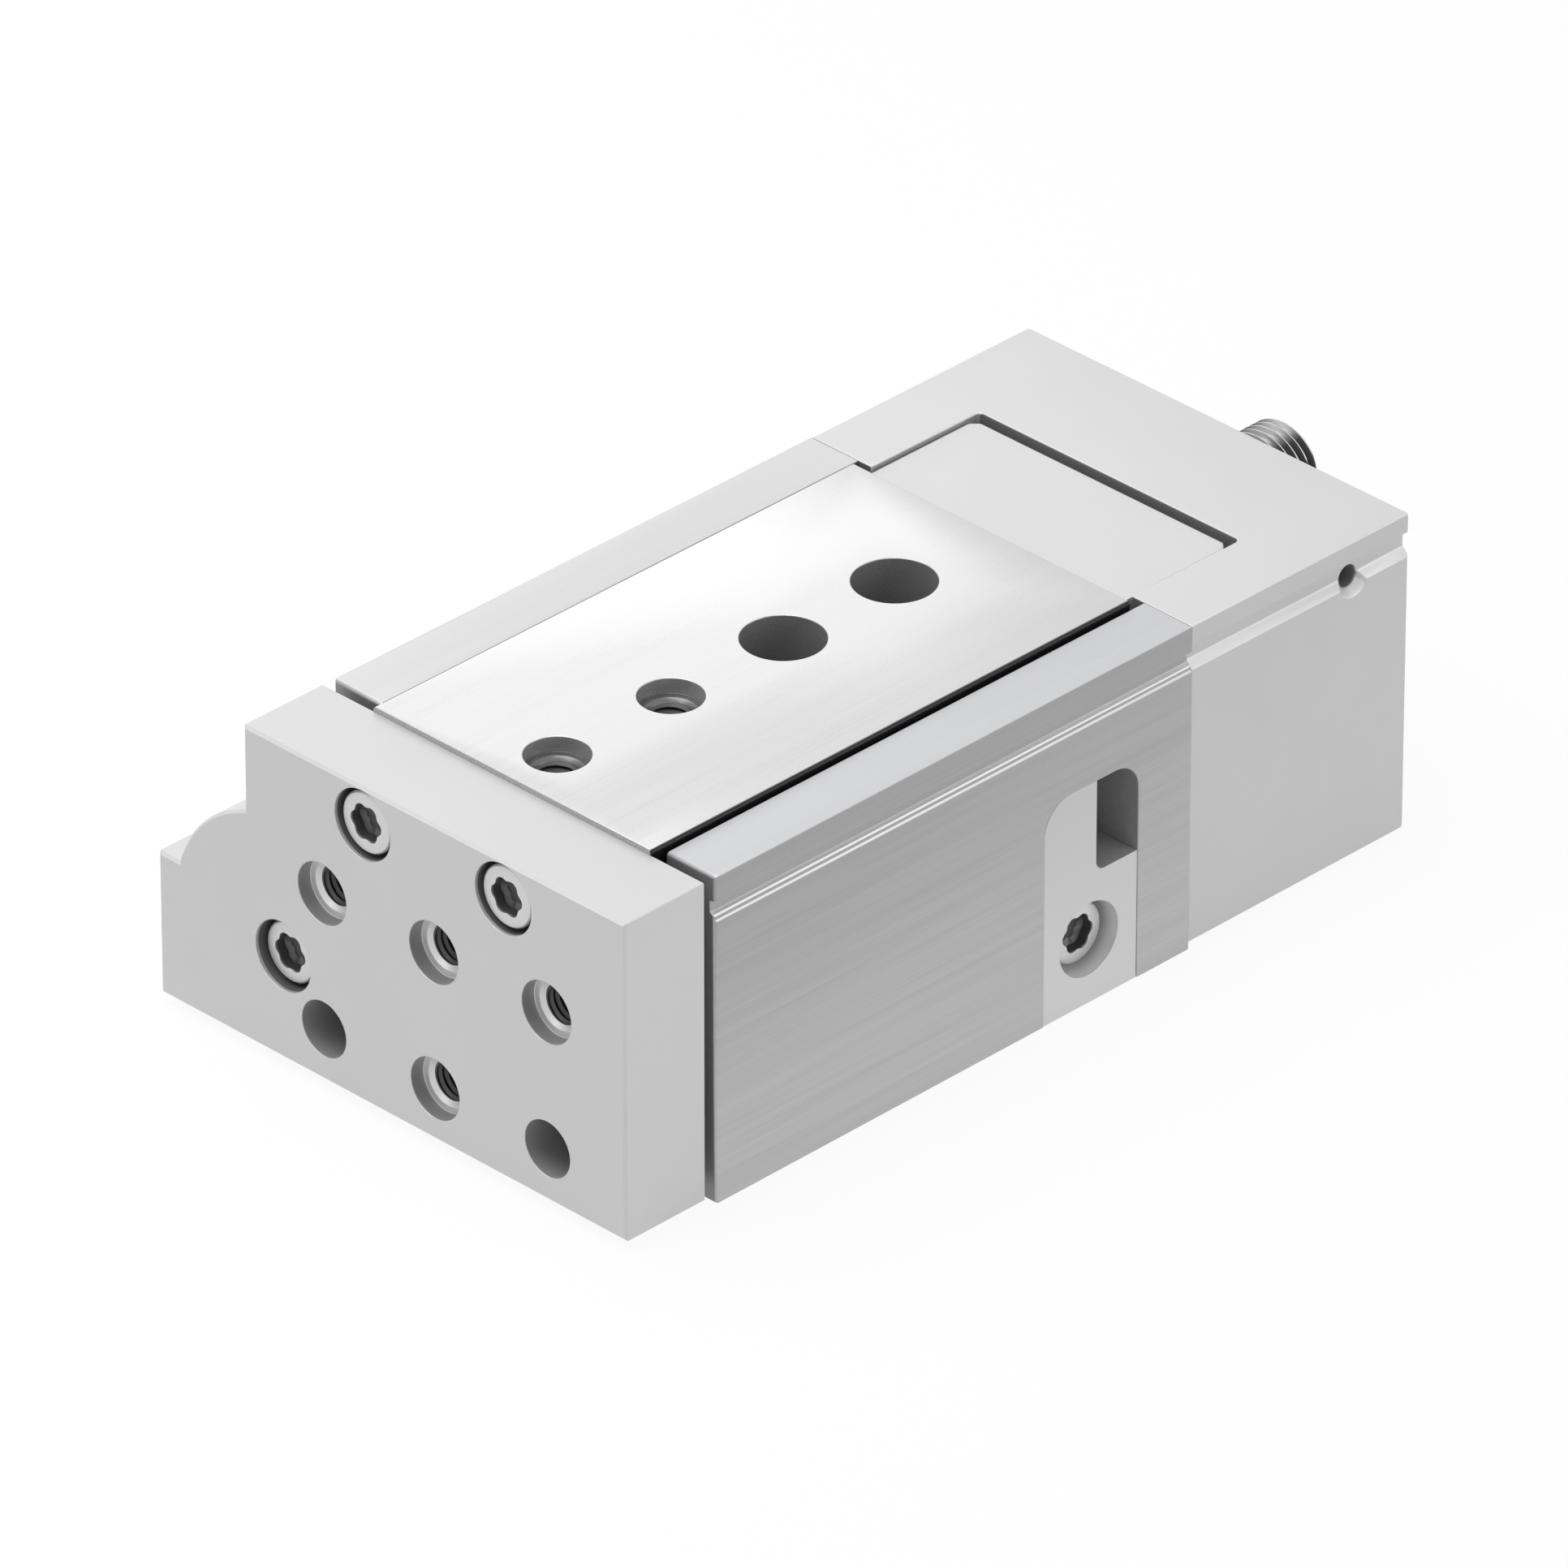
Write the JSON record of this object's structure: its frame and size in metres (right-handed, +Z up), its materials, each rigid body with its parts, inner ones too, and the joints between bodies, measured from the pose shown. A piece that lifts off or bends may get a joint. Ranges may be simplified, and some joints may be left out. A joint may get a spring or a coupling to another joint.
{
  "type": "pneumatic slide table",
  "caption": "Compact pneumatic slide: a cylinder in the body drives a ground steel table on a ball-cage guide, with a yoke plate bolted across the front.",
  "frame": {"origin": "on the base face, midway between the two through-bolt holes, under the table's centre line", "axes": "+Z up out of the base; +Y along the stroke towards the rear cap, so the table extends along -Y; +X towards the side with the groove"},
  "size_m": [0.067, 0.1236, 0.0389],
  "materials": {
    "housing_aluminium": "clear anodised, brushed along the stroke",
    "yoke_aluminium": "clear anodised, fine matt",
    "cap_aluminium": "clear anodised, fine matt",
    "insert_aluminium": "milled, matt",
    "ground_steel": "ground and lapped",
    "rail_steel": "hardened and ground",
    "screw_steel": "bright zinc",
    "turned_steel": "turned",
    "chromed_steel": "hard chromed and ground",
    "bearing_steel": "polished",
    "cage_plastic": "moulded",
    "turned_aluminium": "turned",
    "bronze": "sintered",
    "brass": "turned",
    "black_rubber": "smooth",
    "buffer_rubber": "moulded",
    "magnet": "bonded",
    "guide_plastic": "machined"
  },
  "bodies": {
    "base": {"housing": "housing_aluminium", "rear_cap": "cap_aluminium", "cap_screws": "screw_steel", "left_guide_rail": "rail_steel", "right_guide_rail": "rail_steel", "rail_screws": "screw_steel", "cage_stop_pins": "turned_steel", "rod_gland": "turned_aluminium", "rod_bush": "bronze", "rod_seal": "black_rubber", "gland_o_ring": "black_rubber", "gland_retaining_ring": "turned_steel", "front_buffer_ring": "buffer_rubber", "rear_buffer_ring": "buffer_rubber", "spigot_o_ring": "black_rubber", "duct_seal": "black_rubber", "port_plugs": "brass", "stop_sleeve": "turned_steel", "stop_buffer": "buffer_rubber", "stop_lock_nut": "turned_steel", "side_insert": "insert_aluminium", "side_insert_screw": "screw_steel"},
    "table": {"slide_table": "ground_steel", "table_end_block": "cap_aluminium", "end_block_screws": "screw_steel", "yoke_plate": "yoke_aluminium", "yoke_screws": "screw_steel", "yoke_dowels": "turned_steel", "rod_screw": "screw_steel", "piston_rod": "chromed_steel", "piston": "turned_aluminium", "piston_seals": "black_rubber", "piston_magnet": "magnet", "piston_guide_ring": "guide_plastic", "piston_nut": "turned_steel"},
    "left_cage": {"left_ball_cage": "cage_plastic", "left_balls": "bearing_steel"},
    "right_cage": {"right_ball_cage": "cage_plastic", "right_balls": "bearing_steel"}
  },
  "joints": [
    {"name": "table_slide", "type": "slide", "parent": "base", "child": "table", "axis": [0, -1, 0], "range_m": [0, 0.03]},
    {"name": "left_cage_slide", "type": "slide", "parent": "base", "child": "left_cage", "axis": [0, -1, 0], "range_m": [0, 0.015]},
    {"name": "right_cage_slide", "type": "slide", "parent": "base", "child": "right_cage", "axis": [0, -1, 0], "range_m": [0, 0.015]}
  ],
  "couplings": [
    {"joint": "left_cage_slide", "follows": "table_slide", "ratio": 0.5},
    {"joint": "right_cage_slide", "follows": "table_slide", "ratio": 0.5}
  ]
}
